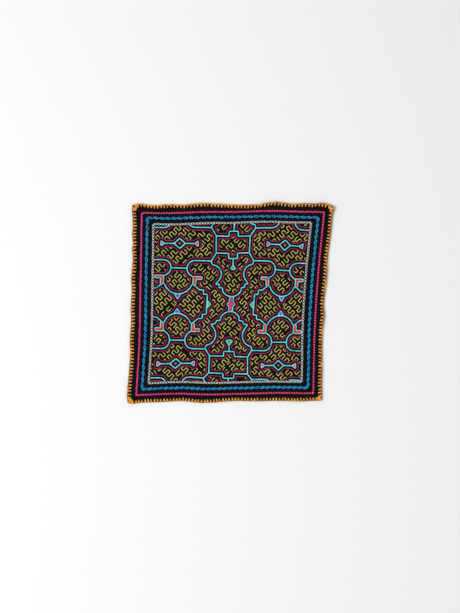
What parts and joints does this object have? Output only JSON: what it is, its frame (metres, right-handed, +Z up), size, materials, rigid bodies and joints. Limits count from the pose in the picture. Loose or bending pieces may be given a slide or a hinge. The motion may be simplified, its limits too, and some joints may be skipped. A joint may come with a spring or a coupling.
{
  "type": "embroidered cloth",
  "caption": "Square black cotton cloth with a maze-like line embroidery, three sewn border rows and a blanket-stitched edge.",
  "frame": {"origin": "on the surface, below the middle of the cloth's outline", "axes": "+Z up out of the face, +Y to the cloth's top edge, +X to its right"},
  "size_m": [0.3868, 0.3754, 0.0064],
  "materials": {
    "black_cotton": "matte plain weave",
    "orange_yarn": "matte twisted yarn",
    "pink_thread": "soft sheen stitch",
    "blue_thread": "soft sheen stitch",
    "white_thread": "soft sheen stitch",
    "turquoise_thread": "soft sheen stitch"
  },
  "bodies": {
    "root": {"panel": "black_cotton", "edging_top": "orange_yarn", "edging_right": "orange_yarn", "edging_bottom": "orange_yarn", "edging_left": "orange_yarn", "row_pink": "pink_thread", "row_blue": "blue_thread", "row_white": "white_thread", "linework_1": "turquoise_thread", "linework_2": "turquoise_thread", "linework_3": "turquoise_thread", "linework_4": "turquoise_thread", "linework_5": "turquoise_thread", "linework_6": "turquoise_thread", "linework_7": "turquoise_thread", "linework_8": "turquoise_thread", "linework_9": "turquoise_thread"}
  },
  "joints": []
}
